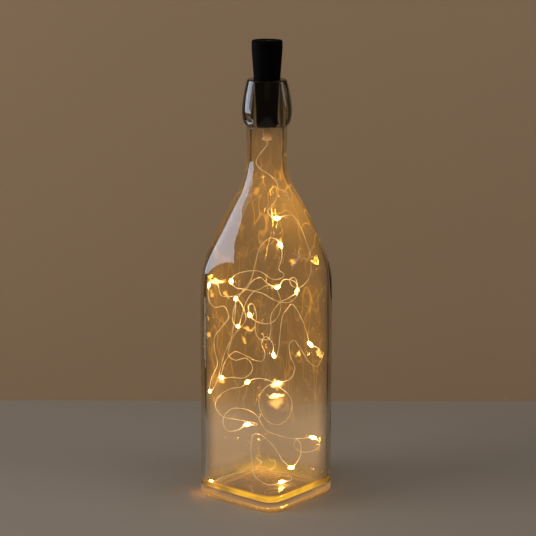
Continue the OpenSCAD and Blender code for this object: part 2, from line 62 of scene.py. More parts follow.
camera = bpy.data.cameras.new("camera")
camera.sensor_width = 36
camera.lens = 36 * FOCAL_PX / FRAME_PX
camera.clip_start = 0.05
camera_stand = bpy.data.objects.new("camera", camera)
SCENE.collection.objects.link(camera_stand)
camera_stand.matrix_world = (
    Matrix.Translation((CAMERA_AWAY * math.sin(VIEW_TURN), -CAMERA_AWAY * math.cos(VIEW_TURN), CAMERA_UP))
    @ Matrix.Rotation(VIEW_TURN - math.radians(0.045), 4, "Z")
    @ Matrix.Rotation(math.radians(90 - 12.8), 4, "X")
    @ Matrix.Rotation(math.radians(0.15), 4, "Z")
)
SCENE.camera = camera_stand


# Route of the light string in millimetres: across the view, away from the viewer and up.
# A fourth number, 1, marks a light.
ROUTE = {
    "lead_wire": [
        (0, 0, 258.5), (0, 0, 255), (-3, -1, 251), (-6, -2, 247), (-7, -5, 243), (-4, -7, 239),
        (0, -5, 236), (4, -1, 232), (7, 2, 228), (8, 4, 222), (7, 4, 216), (4, 2, 211),
        (1, -3, 208), (3, -7, 205), (7, -8, 204, 1)],
    "light_wire_1": [
        (12, -5, 205), (18, 2, 204), (24, 9, 196), (28, 11, 184), (30, 8, 171), (29, 3, 160),
        (24, 3, 152), (18, 1, 153), (16, -3, 159), (20, -8, 161), (21, -10, 152, 1),
        (15, -17, 149), (8, -24, 146), (3, -27, 139), (3, -26, 129), (1, -24, 121), (-5, -21, 121),
        (-7, -21, 129), (-6, -21, 137), (-8, -17, 144), (-11, -10, 142), (-10, -3, 133, 1),
        (-4, 5, 125), (4, 12, 124), (11, 17, 130), (11, 21, 140), (4, 23, 147), (-5, 22, 146),
        (-12, 17, 139), (-16, 7, 130), (-19, -5, 125, 1),
        (-23, -13, 131), (-22, -18, 142), (-17, -19, 153), (-10, -18, 162), (-8, -18, 173),
        (-5, -16, 184), (1, -13, 190), (6, -11, 190), (10, -10, 185, 1),
        (11, -7, 175), (9, -4, 166), (14, 2, 161), (13, 10, 156), (4, 15, 154), (-4, 15, 158),
        (-13, 17, 160), (-21, 15, 159), (-24, 8, 155, 1)],
    "light_wire_2": [
        (-21, -2, 153), (-14, -12, 154), (-4, -19, 153), (6, -25, 149), (15, -26, 148),
        (21, -21, 153), (20, -13, 159), (14, -9, 160), (8, -12, 155, 1),
        (1, -12, 157), (-5, -6, 160), (-9, 3, 156), (-14, 11, 148), (-23, 14, 143), (-31, 9, 144),
        (-33, 3, 150), (-34, -3, 155), (-38, -4, 157), (-41, 0, 154, 1),
        (-41, -4, 146), (-36, -8, 140), (-29, -10, 141), (-26, -12, 134), (-31, -10, 126),
        (-36, -7, 118), (-36, -6, 108), (-34, -8, 98), (-38, -7, 88), (-40, -1, 76, 1),
        (-37, 5, 77), (-33, 10, 88), (-29, 14, 101), (-22, 17, 113), (-14, 14, 122), (-13, 6, 131),
        (-17, 0, 141), (-21, -6, 146, 1),
        (-21, -13, 141), (-22, -18, 131), (-24, -19, 119), (-26, -18, 108), (-21, -15, 103),
        (-13, -14, 104), (-9, -15, 97), (-14, -17, 91), (-23, -17, 91), (-31, -11, 89, 1)],
    "light_wire_3": [
        (-31, -2, 91), (-28, 7, 97), (-21, 13, 101), (-13, 16, 97), (-5, 15, 94), (-2, 10, 101),
        (-4, 6, 110), (-1, 2, 116), (4, -1, 112), (5, -4, 104, 1),
        (7, -10, 104), (9, -15, 113), (10, -17, 124), (12, -15, 136), (17, -8, 142), (22, -1, 135),
        (26, 5, 124), (29, 8, 115), (31, 6, 109, 1),
        (36, 2, 107), (38, -2, 100), (34, -6, 96), (28, -8, 102), (22, -11, 112), (18, -16, 118),
        (15, -20, 116), (16, -23, 108), (19, -22, 99), (16, -23, 92), (8, -22, 88, 1),
        (1, -24, 87), (-4, -26, 81), (-4, -27, 71), (1, -27, 62), (9, -27, 59), (15, -25, 65),
        (17, -22, 74), (12, -18, 82), (3, -13, 87), (-6, -9, 88), (-13, -4, 84, 1),
        (-17, 4, 78), (-25, 9, 75), (-33, 7, 71), (-36, 0, 65), (-31, -6, 59), (-22, -7, 57),
        (-13, -6, 55), (-6, -8, 54), (-7, -15, 55), (-13, -17, 56, 1)],
    "light_wire_4": [
        (-20, -18, 52), (-27, -15, 51), (-30, -10, 58), (-24, -9, 65), (-15, -11, 66),
        (-7, -11, 62), (-3, -8, 54), (1, -3, 47), (8, 3, 42), (17, 7, 38), (26, 4, 39),
        (33, 0, 41, 1),
        (38, 3, 35), (35, 10, 28), (26, 14, 25), (19, 10, 31), (21, 1, 39), (24, -8, 38),
        (23, -14, 30), (17, -17, 24, 1),
        (12, -19, 29), (8, -22, 37), (3, -24, 45), (-4, -21, 50), (-9, -14, 47), (-10, -9, 37),
        (-9, -7, 25), (-7, -6, 14), (-2, -6, 8), (5, -5, 7), (11, -2, 8, 1),
        (17, 4, 7), (18, 12, 7), (11, 19, 7), (0, 22, 8), (-12, 22, 8), (-23, 16, 8), (-32, 7, 8),
        (-39, -4, 9, 1)],
}
WIRE_D = 0.8 * MM
STEP = 1.0 * MM


def placed(point):
    """A point of the route in the frame, in metres."""
    across, away, up = (c * MM for c in point[:3])
    return Matrix.Rotation(VIEW_TURN, 3, "Z") @ Vector((across, away, up))


def inverse_view(place):
    """A place in the frame as across the view, away from the viewer and up."""
    return Matrix.Rotation(-VIEW_TURN, 3, "Z") @ Vector(place)


def smooth_line(points):
    """Even steps along a smooth curve through the points, each with the number of its stretch."""
    padded = [2 * points[0] - points[1], *points, 2 * points[-1] - points[-2]]
    line = []
    for i in range(1, len(padded) - 2):
        a, b, c, d = padded[i - 1 : i + 3]
        # Knots grow with the root of the distance, so that the curve makes no loop of its own
        t0, t1, t2 = (max((q - p).length, 1e-6) ** 0.5 for p, q in ((a, b), (b, c), (c, d)))
        leave = (b - a) / t0 - (c - a) / (t0 + t1) + (c - b) / t1
        arrive = (c - b) / t1 - (d - b) / (t1 + t2) + (d - c) / t2
        leave, arrive = leave * t1, arrive * t1
        steps = max(2, round((c - b).length / STEP))
        for k in range(steps):
            u = k / steps
            line.append((
                b * (2 * u**3 - 3 * u**2 + 1) + leave * (u**3 - 2 * u**2 + u)
                + c * (3 * u**2 - 2 * u**3) + arrive * (u**3 - u**2),
                i - 1))
    line.append((padded[-2], len(points) - 1))
    return line


whole_route = [p for run in ROUTE.values() for p in run]
whole_line = smooth_line([placed(p) for p in whole_route])
run_ends = []
for run in ROUTE.values():
    run_ends.append((run_ends[-1] if run_ends else -1) + len(run))


def line_between(first, last):
    """The smooth line from one point of the route to another."""
    return [p for p, i in whole_line if first <= i < last] + [placed(whole_route[last])]


# Two thin strands side by side in one coat of lacquer, seen end on
bpy.ops.object.select_all(action="DESELECT")
strand = WIRE_D / 4
outline = bpy.data.curves.new("two_strands", "CURVE")
outline.dimensions = "2D"
lobes = outline.splines.new("POLY")
turns = [-120 + 40 * k for k in range(7)]
outline_points = [
    (strand + strand * math.cos(math.radians(t)), strand * math.sin(math.radians(t))) for t in turns]
outline_points += [(-x, -y) for x, y in outline_points]
lobes.points.add(len(outline_points) - 1)
for p, (x, y) in zip(lobes.points, outline_points):
    p.co = (x, y, 0, 1)
lobes.use_cyclic_u = True
outline_stand = bpy.data.objects.new("two_strands", outline)
SCENE.collection.objects.link(outline_stand)

wires = {}
for number, name in enumerate(ROUTE):
    first = 0 if number == 0 else run_ends[number - 1]
    line = line_between(first, run_ends[number])
    path = bpy.data.curves.new(name, "CURVE")
    path.dimensions = "3D"
    path.twist_mode = "MINIMUM"
    path.bevel_mode = "OBJECT"
    path.bevel_object = outline_stand
    path.use_fill_caps = True
    spline = path.splines.new("POLY")
    spline.points.add(len(line) - 1)
    for k, (point, centre) in enumerate(zip(spline.points, line)):
        point.co = (*centre, 1)
        # The strands lie round each other once in 25 mm
        point.tilt = math.tau * k * STEP / (25 * MM)
    cord = bpy.data.objects.new("wire_" + name, path)
    SCENE.collection.objects.link(cord)
    bpy.ops.object.select_all(action="DESELECT")
    bpy.context.view_layer.objects.active = cord
    cord.select_set(True)
    bpy.ops.object.convert(target="MESH")
    bpy.ops.object.mode_set(mode="EDIT")
    bpy.ops.mesh.select_all(action="SELECT")
    bpy.ops.mesh.remove_doubles(threshold=1e-6)
    bpy.ops.mesh.normals_make_consistent(inside=False)
    bpy.ops.mesh.faces_shade_smooth()
    bpy.ops.object.mode_set(mode="OBJECT")
    cord = bpy.context.object
    wires[name] = (cord, line)
bpy.data.objects.remove(outline_stand)


def activate(*objects):
    """Selects only these, the last one active."""
    bpy.ops.object.select_all(action="DESELECT")
    for o in objects:
        o.select_set(True)
        bpy.context.view_layer.objects.active = o


def apply_modifiers(piece):
    activate(piece)
    for m in list(piece.modifiers):
        bpy.ops.object.modifier_apply(modifier=m.name)


# Clear resin drop: a ball drawn out along the wire, fuller on the side of its chip
bead_line = [(i, p) for i, p in enumerate(whole_route) if len(p) == 4]
bpy.ops.object.select_all(action="DESELECT")
bpy.ops.mesh.primitive_uv_sphere_add(segments=20, ring_count=14, radius=1.4 * MM)
bead_model = bpy.context.object
bpy.ops.object.mode_set(mode="EDIT")
bpy.ops.transform.resize(value=(1, 0.92, 2.6 / 1.4))
bpy.ops.mesh.faces_shade_smooth()
drop = bmesh.from_edit_mesh(bead_model.data)
for v in drop.verts:
    end = abs(v.co.z) / (2.6 * MM)
    # The resin runs out thin on the wire at both ends
    thin = 1 - 0.45 * max(0.0, end - 0.45)
    v.co.x = v.co.x * thin + 0.18 * MM * (1 - end)
    v.co.y *= thin
bmesh.update_edit_mesh(bead_model.data)
bpy.ops.object.mode_set(mode="OBJECT")

# Light chip: a flat block of yellow phosphor with eased edges
bpy.ops.object.select_all(action="DESELECT")
bpy.ops.mesh.primitive_cube_add(size=1)
chip_model = bpy.context.object
bpy.ops.object.mode_set(mode="EDIT")
bpy.ops.transform.resize(value=(0.4 * MM, 0.8 * MM, 1.2 * MM))
bpy.ops.transform.translate(value=(0.6 * MM, 0, 0))
bpy.ops.mesh.bevel(offset=0.06 * MM, segments=2)
bpy.ops.object.mode_set(mode="OBJECT")


def heading(index):
    """Direction of the smooth line at a point of the route."""
    k = next(n for n, (_, i) in enumerate(whole_line) if i == index)
    k = min(k, len(whole_line) - 2)
    return (whole_line[k + 1][0] - whole_line[max(k - 1, 0)][0]).normalized()


def on_the_string(model, name, indices):
    """Copies of the model at these points of the route, joined into one piece."""
    copies = []
    for n, i in enumerate(indices):
        copy = bpy.data.objects.new(name, model.data.copy())
        SCENE.collection.objects.link(copy)
        along = heading(i)
        turn = Matrix.Rotation(2.4 * n, 4, "Z")
        lie = along.to_track_quat("Z", "X").to_matrix().to_4x4()
        copy.data.transform(Matrix.Translation(placed(whole_route[i])) @ lie @ turn)
        copies.append(copy)
    activate(*copies[::-1])
    bpy.ops.object.join()
    copies[0].name = name
    return copies[0]


lights = {}
for number in range(1, 5):
    own = [i for i, _ in bead_line if run_ends[number - 1] <= i < run_ends[number] + (number == 4)]
    lights[number] = (
        on_the_string(bead_model, f"resin_drops_{number}", own),
        on_the_string(chip_model, f"light_chips_{number}", own))
for model in (bead_model, chip_model):
    bpy.data.objects.remove(model)
light_places = [placed(p) for _, p in bead_line]


# The stopper's heights and radii, in millimetres
TOP_Z, CAP_Z, MOUTH_Z, TIP_Z, OUTLET_Z = 328.0, 322.0, 301.0, 268.5, 258.5
HEAD_R, MOUTH_R, TIP_R, WELL_R, WELL_Z = 10.75, 9.22, 7.0, 7.8, 294.5
CAGE_R, HEAD_EDGE, RECESS_Z = 7.6, 1.2, 326.3


def ramp(value, a, b):
    return max(0.0, min(1.0, (value - a) / (b - a)))


def arc_points(cx, cz, r, a, b, steps):
    """Points of a quarter circle or less, from angle a to b in degrees."""
    turns = [math.radians(a + (b - a) * k / steps) for k in range(steps + 1)]
    return [(cx + r * math.cos(t), cz + r * math.sin(t)) for t in turns]


def turned(name, outline, steps=96):
    """The outline of radius and height drawn point by point, then spun round the axis."""
    bpy.ops.object.select_all(action="DESELECT")
    bpy.ops.mesh.primitive_plane_add(size=MM)
    piece = bpy.context.object
    piece.name = name
    bpy.ops.object.mode_set(mode="EDIT")
    bpy.ops.mesh.select_all(action="SELECT")
    bpy.ops.mesh.merge(type="CENTER")
    bpy.ops.transform.translate(value=(outline[0][0] * MM, 0, outline[0][1] * MM))
    for (r0, z0), (r1, z1) in zip(outline, outline[1:]):
        step = ((r1 - r0) * MM, 0, (z1 - z0) * MM)
        bpy.ops.mesh.extrude_vertices_move(TRANSFORM_OT_translate={"value": step})
    bpy.ops.mesh.select_all(action="SELECT")
    bpy.ops.mesh.spin(steps=steps, angle=math.tau, center=(0, 0, 0), axis=(0, 0, 1))
    bpy.ops.mesh.select_all(action="SELECT")
    bpy.ops.mesh.remove_doubles(threshold=1e-6)
    bpy.ops.mesh.normals_make_consistent(inside=False)
    bpy.ops.object.mode_set(mode="OBJECT")
    return piece


def round_edges(piece, width, segments=3, limit=35):
    """Bevels all edges sharper than the limit and smooths the rest."""
    edge = piece.modifiers.new("edge", "BEVEL")
    edge.width = width * MM
    edge.segments = segments
    edge.limit_method = "ANGLE"
    edge.angle_limit = math.radians(limit)
    edge.use_clamp_overlap = True
    apply_modifiers(piece)
    activate(piece)
    bpy.ops.object.shade_smooth_by_angle(angle=math.radians(limit))


def cut_away(piece, cutter):
    """Takes the cutter's shape out of the piece."""
    cut = piece.modifiers.new("cut", "BOOLEAN")
    cut.operation = "DIFFERENCE"
    cut.solver = "EXACT"
    cut.object = cutter
    apply_modifiers(piece)
    bpy.data.objects.remove(cutter)


def block(name, low, high):
    """A block between two corners in millimetres."""
    bpy.ops.object.select_all(action="DESELECT")
    bpy.ops.mesh.primitive_cube_add(size=1)
    piece = bpy.context.object
    piece.name = name
    bpy.ops.object.mode_set(mode="EDIT")
    bpy.ops.transform.resize(value=[(b - a) * MM for a, b in zip(low, high)])
    bpy.ops.transform.translate(value=[(a + b) / 2 * MM for a, b in zip(low, high)])
    bpy.ops.object.mode_set(mode="OBJECT")
    return piece


# Cork-shaped holder: slightly hollow sides, an open well for the cells and a smaller one for the board
TIP_EDGE, BOARD_R, BOARD_Z, CHIP_R, TUBE_R = 0.8, 6.85, 290.0, 4.9, 2.15
TIP_FLOOR = TIP_Z + 2.5
low_z = TIP_Z + TIP_EDGE
sides = [(TIP_R + (MOUTH_R - TIP_R) * t, low_z + (MOUTH_Z - low_z) * t) for t in (0, 0.25, 0.5, 0.75, 1)]
sides += [(MOUTH_R + (HEAD_R - MOUTH_R) * t, MOUTH_Z + (CAP_Z - MOUTH_Z) * t) for t in (0.33, 0.66, 1)]
holder = turned("cork_shaped_holder", [
    (TUBE_R, TIP_Z), (TIP_R - 0.7, TIP_Z), *sides, (WELL_R, CAP_Z), (WELL_R, WELL_Z), (BOARD_R, WELL_Z),
    (BOARD_R, BOARD_Z), (CHIP_R, BOARD_Z), (CHIP_R, TIP_FLOOR), (TUBE_R, TIP_FLOOR), (TUBE_R, TIP_Z)])
round_edges(holder, 0.25, limit=30)

# Outlet: a milky tube with a rolled rim at its lower end
outlet = turned("milky_outlet", [
    (1.1, OUTLET_Z), (2.9, OUTLET_Z), *arc_points(2.75, OUTLET_Z + 0.7, 0.7, -70, 60, 5),
    (2.75, OUTLET_Z + 2.2), (2.75, TIP_Z), (2.1, TIP_Z), (2.1, TIP_FLOOR), (1.1, TIP_FLOOR), (1.1, OUTLET_Z)])
round_edges(outlet, 0.12, limit=40)

# Cap: a rounded head over a short spigot, with a long finger recess for the switch in its top
cap = turned("stopper_cap", [
    (0, CAP_Z - 0.2), (6.3, CAP_Z - 0.2), (6.3, CAP_Z - 1.3), (CAGE_R, CAP_Z - 1.3), (CAGE_R, CAP_Z),
    (HEAD_R - 0.15, CAP_Z), (HEAD_R, CAP_Z + 0.15),
    *arc_points(HEAD_R - HEAD_EDGE, TOP_Z - HEAD_EDGE, HEAD_EDGE, 0, 90, 8), (0, TOP_Z)])
recess = block("recess", (-4.5, -2.7, RECESS_Z), (4.5, 2.7, TOP_Z + 1))
bpy.ops.object.mode_set(mode="EDIT")
bpy.ops.mesh.select_all(action="DESELECT")
corners = bmesh.from_edit_mesh(recess.data)
for e in corners.edges:
    e.select = abs(e.verts[0].co.z - e.verts[1].co.z) > MM
bpy.ops.mesh.bevel(offset=2.69 * MM, segments=10)
bpy.ops.object.mode_set(mode="OBJECT")
cut_away(cap, recess)
cut_away(cap, block("slot", (-2.1, -0.85, 323.0), (2.1, 0.85, RECESS_Z + 1)))
round_edges(cap, 0.15, limit=30)


# Button cell: a pressed can with a rolled edge, and its smaller contact face below a sealing ring
CELL_R, CELL_HIGH, STACK_Z = 5.8, 5.4, 297.3
cell_model = turned("button_cell", [
    (0, 0.15), (4.2, 0.15), (4.5, 0), (4.9, 0.05), (4.9, 0.55), (5.15, 0.75), (5.35, 0.55), (5.55, 0.55),
    (CELL_R, 0.9), (CELL_R, CELL_HIGH - 0.4), (5.45, CELL_HIGH), (4.6, CELL_HIGH), (4.4, 5.3), (0, 5.3)],
    steps=72)
round_edges(cell_model, 0.12, limit=25)
cells = []
for number in (1, 2, 3):
    cell = bpy.data.objects.new(f"button_cell_{number}", cell_model.data.copy())
    SCENE.collection.objects.link(cell)
    cell.data.transform(Matrix.Translation((0, 0, (STACK_Z + (number - 1) * CELL_HIGH) * MM)))
    cells.append(cell)
bpy.data.objects.remove(cell_model)


def coil(name, r0, r1, z0, z1, turns, thickness):
    """A coil spring of round wire, its ends laid flat."""
    path = bpy.data.curves.new(name, "CURVE")
    path.dimensions = "3D"
    path.bevel_depth = thickness / 2 * MM
    path.bevel_resolution = 3
    path.use_fill_caps = True
    count = round(turns * 32)
    spline = path.splines.new("POLY")
    spline.points.add(count)
    for k, point in enumerate(spline.points):
        t = k / count
        # The first and last half turn hardly rise
        rise = max(0.0, min(1.0, (t * turns - 0.5) / (turns - 1)))
        r, a = r0 + (r1 - r0) * t, math.tau * turns * t
        point.co = (r * math.cos(a) * MM, r * math.sin(a) * MM, (z0 + (z1 - z0) * rise) * MM, 1)
    piece = bpy.data.objects.new(name, path)
    SCENE.collection.objects.link(piece)
    activate(piece)
    bpy.ops.object.convert(target="MESH")
    bpy.ops.object.mode_set(mode="EDIT")
    bpy.ops.mesh.select_all(action="SELECT")
    bpy.ops.mesh.normals_make_consistent(inside=False)
    bpy.ops.mesh.faces_shade_smooth()
    bpy.ops.object.mode_set(mode="OBJECT")
    return bpy.context.object


board_coil = coil("board_coil", 2.35, 1.6, 291.22, 294.68, 4, 0.4)
cell_coil = coil("cell_coil", 4.15, 3.5, 313.72, 319.48, 5, 0.4)

# Slider: a stem under a low knob with ribs across it
KNOB_X, KNOB_LONG, KNOB_HALF, KNOB_Z, KNOB_TOP = -0.7, 3.4, 1.6, 326.4, 327.7
RIBS, RIB_PITCH, RIB_WIDE, RIB_HIGH = 5, 0.63, 0.42, 0.4
slide = block(
    "slide_knob", (KNOB_X, -KNOB_HALF, KNOB_Z), (KNOB_X + KNOB_LONG, KNOB_HALF, KNOB_TOP - RIB_HIGH))
round_edges(slide, 0.22, limit=30)
stem = block("slide_stem", (0, -0.75, 322.1), (2, 0.75, KNOB_Z + 0.2))
rib_starts = [KNOB_X + 0.15 + RIB_PITCH * k for k in range(RIBS)]
ribs = [block("rib", (x, -1.45, KNOB_TOP - 0.6), (x + RIB_WIDE, 1.45, KNOB_TOP)) for x in rib_starts]
for rib in ribs:
    round_edges(rib, 0.17, limit=30)
activate(stem, *ribs, slide)
bpy.ops.object.join()
slide.name = "slide_knob"


# The bottle, in millimetres
BODY_HALF, CORNER, INNER_CORNER = 37.25, 13.0, 11.0
WALL, BASE, NECK_R, NECK_WALL, BORE_R = 3.0, 5.5, 14.3, 3.5, 9.3
NECK_BORE = NECK_R - NECK_WALL
HEEL, FLOOR_FILLET, FOOT, HOLLOW = 3.5, 7.0, 6.0, 2.0
ARC_R, ARC_X, ARC_Z, NECK_FILLET = 250.0, -191.8, 90.0, 40.0
FILLET_X = NECK_R + NECK_FILLET
FILLET_Z = ARC_Z + math.sqrt((ARC_R + NECK_FILLET) ** 2 - (FILLET_X - ARC_X) ** 2)
MEET_Z = ARC_Z + ARC_R * (FILLET_Z - ARC_Z) / (ARC_R + NECK_FILLET)
RIM_Z, COLLAR_Z, COLLAR_BASE, COLLAR_R, RIM_R, RIM_EDGE = 301.0, 279.5, 269.0, 17.55, 14.1, 1.5
DIMPLE_Z, DIMPLE_TURN = 272.6, math.radians(80)
DIMPLE_DEPTH, DIMPLE_HALF, DIMPLE_R, DIMPLE_EDGE = 1.6, 1.8, 1.1, 1.0
NECK_FLARE, WAVER = 0.22, 0.6
SOFTNESS = 26
SEGMENTS = 120


def square_reach(angle, half, corner):
    """Distance from the axis to the outline of a square with round corners."""
    c, s = abs(math.cos(angle)), abs(math.sin(angle))
    flat = half - corner
    if min(c, s) / max(c, s) * half <= flat:
        return half / max(c, s)
    along = flat * (c + s)
    return along + math.sqrt(corner**2 - 2 * flat**2 + along**2)


def shoulder_reach(z):
    """Radius of the shoulder and neck, which the square body is cut by."""
    if z < ARC_Z:
        return ARC_X + ARC_R
    if z < MEET_Z:
        return ARC_X + math.sqrt(ARC_R**2 - (z - ARC_Z) ** 2)
    if z < FILLET_Z:
        return FILLET_X - math.sqrt(NECK_FILLET**2 - (z - FILLET_Z) ** 2)
    return NECK_R


def neck_wall(z):
    return WALL + (NECK_WALL - WALL) * ramp(z, MEET_Z, FILLET_Z)


def square_ring(z, half, corner, reach=None):
    """Ring of points on a square section, drawn in softly where the round shoulder cuts it."""
    points = []
    for k in range(SEGMENTS):
        a = math.tau * k / SEGMENTS
        r = square_reach(a, half, corner)
        if reach is not None:
            r = (r**-SOFTNESS + reach**-SOFTNESS) ** (-1 / SOFTNESS)
        points.append((r * math.cos(a), r * math.sin(a), z))
    return points


def round_ring(z, r):
    turns = [math.tau * k / SEGMENTS for k in range(SEGMENTS)]
    return [(r * math.cos(a), r * math.sin(a), z) for a in turns]


def dimpled(points):
    """The ring with the two shallow pockets for a wire bail pressed into it."""
    made = []
    for x, y, z in points:
        for turn in (DIMPLE_TURN, DIMPLE_TURN + math.pi):
            ahead = x * math.cos(turn) + y * math.sin(turn)
            aside = -x * math.sin(turn) + y * math.cos(turn)
            away = math.hypot(max(0.0, abs(aside) - DIMPLE_HALF), z - DIMPLE_Z)
            depth = 1 - ramp(away, DIMPLE_R, DIMPLE_R + DIMPLE_EDGE)
            floor = COLLAR_R - DIMPLE_DEPTH
            if ahead > floor and depth > 0:
                sunk = ahead + (floor - ahead) * depth * depth * (3 - 2 * depth)
                x += (sunk - ahead) * math.cos(turn)
                y += (sunk - ahead) * math.sin(turn)
        made.append((x, y, z))
    return made


def uneven(points, depth):
    """The inside of a pressed bottle wavers by a fraction of a millimetre."""
    made = []
    for x, y, z in points:
        wave = noise.noise(Vector((x * 0.05, y * 0.05, z * 0.028))) * depth
        r = math.hypot(x, y)
        made.append((x * (1 - wave / r), y * (1 - wave / r), z))
    return made


def evenly(a, b, n, first=True):
    return [a + (b - a) * k / n for k in range(0 if first else 1, n + 1)]


def bottle_rings():
    rings = []
    # Underside, with its hollow and standing ring
    inner_half = BODY_HALF - HEEL - FOOT
    for half, z in (
            (8, HOLLOW), (17, HOLLOW), (23, HOLLOW), (26.2, HOLLOW - 0.1), (27.1, 1.5), (inner_half, 0.9),
            (28.3, 0.3), (29.0, 0.05), (30.0, 0)):
        rings.append(square_ring(z, half, min(9.5, 0.85 * half)))
    for t in evenly(-90, 0, 7):
        half = BODY_HALF - HEEL + HEEL * math.cos(math.radians(t))
        rings.append(square_ring(HEEL + HEEL * math.sin(math.radians(t)), half, half - (BODY_HALF - CORNER)))
    heights = [5, 8, 12, 18, 26, 36, 48, 60, 72, 84, 96, 108, 118, 126, 132]
    for z in heights + evenly(132, FILLET_Z, 42, first=False):
        rings.append(square_ring(z, BODY_HALF, CORNER, shoulder_reach(z)))
    # Neck, collar and rim
    for z in (247, 250, 253, 257, 262, 266, 268, 268.7):
        rings.append(round_ring(z, NECK_R + NECK_FLARE * ramp(z, 249, 268)))
    rings.append(round_ring(269.0, NECK_R + 0.25))
    rise = COLLAR_Z - COLLAR_BASE
    for t in evenly(0.06, 1, 17):
        z = COLLAR_Z - rise * math.cos(math.radians(90 * t))
        r = NECK_R + 0.2 + (COLLAR_R - NECK_R - 0.2) * math.sin(math.radians(90 * t))
        rings.append(dimpled(round_ring(z, r)))
    for t in evenly(0.1, 1, 9):
        z = COLLAR_Z + (RIM_Z - RIM_EDGE - COLLAR_Z) * t
        rings.append(round_ring(z, RIM_R + (COLLAR_R - RIM_R) * (1 - t**1.5)))
    for t in evenly(20, 90, 5):
        a = math.radians(t)
        z = RIM_Z - RIM_EDGE + RIM_EDGE * math.sin(a)
        rings.append(round_ring(z, RIM_R - RIM_EDGE + RIM_EDGE * math.cos(a)))
    rings.append(round_ring(RIM_Z, 10.5))
    for r, z in ((10.0, 300.95), (9.6, 300.7), (9.36, 300.3), (BORE_R, 299.6)):
        rings.append(round_ring(z, r))
    # Inside: straight bore, flare, neck, shoulder, body and floor
    for r, z in (
            (BORE_R, 290), (BORE_R, 281), (BORE_R, 277), (9.42, 275), (9.9, 271), (10.5, 267.5),
            (NECK_BORE, 264.5), (NECK_BORE, 258), (NECK_BORE, 250)):
        rings.append(round_ring(z, r))
    for z in evenly(FILLET_Z, 132, 42) + [126, 118, 108, 98, 88, 78, 68, 58, 48, 38, 30, 23, 17, 14]:
        ring = square_ring(z, BODY_HALF - WALL, INNER_CORNER, shoulder_reach(z) - neck_wall(z))
        rings.append(uneven(ring, WAVER * min(1.0, (FILLET_Z - z) / 40)))
    for t in evenly(0, -90, 7):
        a = math.radians(t)
        half = BODY_HALF - WALL - FLOOR_FILLET + FLOOR_FILLET * math.cos(a)
        z = BASE + FLOOR_FILLET + FLOOR_FILLET * math.sin(a)
        rings.append(square_ring(z, half, half - (BODY_HALF - CORNER)))
    for half in (24, 20.5, 17, 13.5, 10, 6.5, 3.5):
        rings.append(square_ring(BASE, half, min(4.0, 0.5 * half)))
    return rings


def skin(rings, closed_start, closed_end):
    """A disc extruded once for each ring, in edit mode, so that it becomes a skin over them all."""
    bpy.ops.object.select_all(action="DESELECT")
    bpy.ops.mesh.primitive_circle_add(vertices=len(rings[0]), radius=MM, fill_type="NGON")
    piece = bpy.context.object
    bpy.ops.object.mode_set(mode="EDIT")
    mesh = bmesh.from_edit_mesh(piece.data)
    front = list(next(iter(mesh.faces)).verts)
    for v, p in zip(front, rings[0]):
        v.co = Vector(p) * MM
    for ring in rings[1:]:
        where = {tuple(v.co): k for k, v in enumerate(front)}
        bmesh.update_edit_mesh(piece.data, loop_triangles=False)
        bpy.ops.mesh.extrude_region_move()
        mesh = bmesh.from_edit_mesh(piece.data)
        front = sorted((v for v in mesh.verts if v.select), key=lambda v: where[tuple(v.co)])
        for v, p in zip(front, ring):
            v.co = Vector(p) * MM
    ends = [f for f in mesh.faces if len(f.verts) > 4]
    for f in ends:
        last = all(v.select for v in f.verts)
        if not (closed_end if last else closed_start):
            mesh.faces.remove(f)
    bmesh.update_edit_mesh(piece.data)
    bpy.ops.object.mode_set(mode="OBJECT")
    return piece


def loft(name, rings):
    """Closed skin over all the rings, made in short lengths that are then joined."""
    length = 30
    starts = range(0, len(rings) - 1, length)
    lengths = [skin(rings[k : k + length + 1], k == 0, k + length + 1 >= len(rings)) for k in starts]
    activate(*lengths)
    bpy.ops.object.join()
    piece = bpy.context.object
    piece.name = name
    bpy.ops.object.mode_set(mode="EDIT")
    bpy.ops.mesh.select_all(action="SELECT")
    bpy.ops.mesh.remove_doubles(threshold=1e-6)
    bpy.ops.mesh.normals_make_consistent(inside=False)
    bpy.ops.mesh.faces_shade_smooth()
    bpy.ops.object.mode_set(mode="OBJECT")
    return piece


bottle = loft("clear_bottle", bottle_rings())
soft = bottle.modifiers.new("soft", "SUBSURF")
soft.levels = soft.render_levels = 1
apply_modifiers(bottle)


def keep(piece, name, worth):
    """Keeps a number with each vertex, for a material to read."""
    kept = piece.data.attributes.new(name, "FLOAT", "POINT")
    for v in piece.data.vertices:
        kept.data[v.index].value = worth(v.co)


def shine(place, near):
    """How strongly all the lights of the string shine on a place."""
    away = [(place - light).length_squared + (near * MM) ** 2 for light in light_places]
    return sum((10 * MM) ** 2 / a for a in away)


def inset(place):
    """How far a place lies inside the outline of the body, in millimetres."""
    flat = BODY_HALF - CORNER
    x, y = abs(place.x) / MM, abs(place.y) / MM
    return CORNER - math.hypot(max(x - flat, 0), max(y - flat, 0)) - min(max(x, y) - flat, 0)


def painted_base_glow(place):
    """Painted light in the thick glass round the edge of the floor, which fades towards the sides."""
    z = place.z / MM
    deep = inset(place)
    edge = ramp(deep, 2.0, 3.4) * ramp(deep, 10.5, 8.0) * ramp(z, 5.2, 5.8) * ramp(z, 12.6, 11.0)
    return edge * (1 - 0.8 * ramp(abs(inverse_view(place).x) / MM, 32.0, 42.0))


def hollow(place):
    """1 on the hollow under the base, where the glass gets a painted shade for the bottle's own shadow."""
    return ramp(place.z / MM, 3.0, 2.2) * ramp(inset(place), 9.0, 10.5)


# Where painted haze of light lies on the shoulder, and where the floor of the glass is painted lit, each with
# its half width
PAINTED_HAZE, PAINTED_HAZE_WIDE = placed((14, -15, 210)), 22 * MM
PAINTED_LIT_CORNER, PAINTED_LIT_WIDE = placed((0, 30, 6)), 15 * MM
NEAREST = 3


